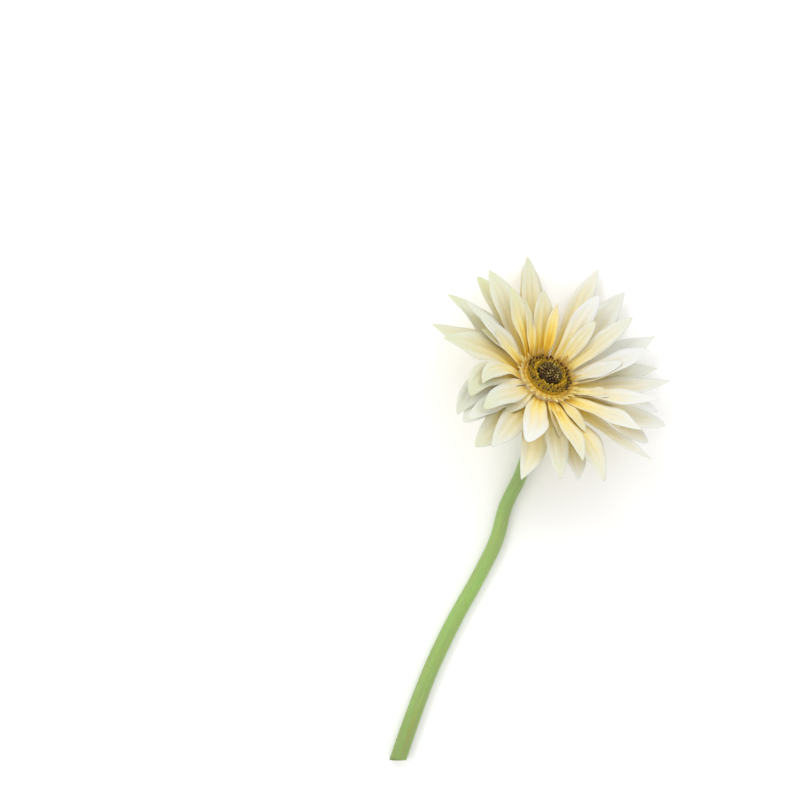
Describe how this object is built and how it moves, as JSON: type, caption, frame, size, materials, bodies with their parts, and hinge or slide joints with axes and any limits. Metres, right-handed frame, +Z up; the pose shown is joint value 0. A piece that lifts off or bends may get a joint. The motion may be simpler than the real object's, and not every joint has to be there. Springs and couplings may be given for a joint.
{
  "type": "gerbera daisy cut flower",
  "caption": "Cut gerbera daisy lying on a surface, with a leaning cream bloom of layered pointed ray petals, a dark-hearted golden disc and a bare green stem.",
  "frame": {"origin": "middle of the flower's footprint, on the surface that it lies on", "axes": "+Y runs from the cut end to the bloom, +Z up from the surface, +X to the bloom's low side"},
  "size_m": [0.1208, 0.2201, 0.0651],
  "materials": {
    "stem_skin": "satin",
    "bract_green": "matte",
    "ray_petal": "soft satin",
    "trans_petal": "soft satin",
    "disc_floret": "matte",
    "disc_bud": "matte"
  },
  "bodies": {
    "root": {"stem": "stem_skin", "involucre": "bract_green", "ray_petals": "ray_petal", "trans_florets": "trans_petal", "disc_florets": "disc_floret", "disc_heart": "disc_bud"}
  },
  "joints": []
}
